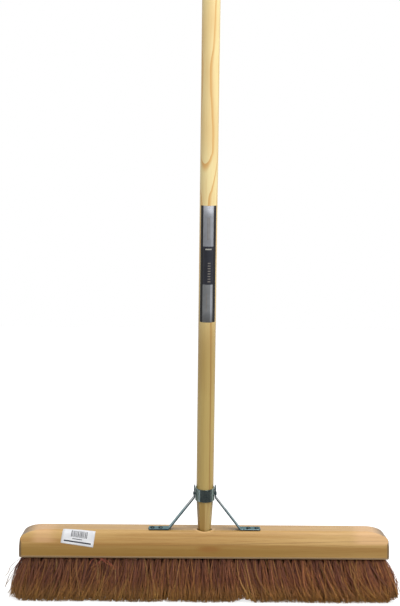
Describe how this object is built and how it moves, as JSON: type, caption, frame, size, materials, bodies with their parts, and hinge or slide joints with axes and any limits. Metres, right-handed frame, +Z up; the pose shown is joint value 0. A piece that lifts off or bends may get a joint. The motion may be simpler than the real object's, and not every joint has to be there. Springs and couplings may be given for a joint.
{
  "type": "coir broom",
  "caption": "Wide platform broom with a domed wooden head, rows of coir tufts, a long leaning wooden handle and a zinc-plated steel stay clamped to the handle and screwed to the head.",
  "frame": {"origin": "on the floor plane, at the flat tip of the middle strand, under the middle of the head", "axes": "+Z up from the floor, +X along the head, -Y the side that the handle leans towards, which is the front in the picture"},
  "size_m": [0.6392, 0.3017, 1.4295],
  "materials": {
    "stock_wood": "lacquered beech",
    "handle_wood": "waxed softwood",
    "zinc_steel": "bright zinc plating",
    "coir": "dark coir fibre"
  },
  "bodies": {
    "root": {"stock": "stock_wood", "handle": "handle_wood", "stay_band": "zinc_steel", "stay_arm_left": "zinc_steel", "stay_arm_right": "zinc_steel", "tab_rivet_left": "zinc_steel", "tab_rivet_right": "zinc_steel", "clamp_bolt": "zinc_steel", "clamp_nut": "zinc_steel", "clamp_washer": "zinc_steel", "foot_screw_left_inner": "zinc_steel", "foot_screw_left_outer": "zinc_steel", "foot_screw_right_inner": "zinc_steel", "foot_screw_right_outer": "zinc_steel", "coir_row_1": "coir", "coir_row_2": "coir", "coir_row_3": "coir", "coir_row_4": "coir", "coir_row_5": "coir"}
  },
  "joints": []
}
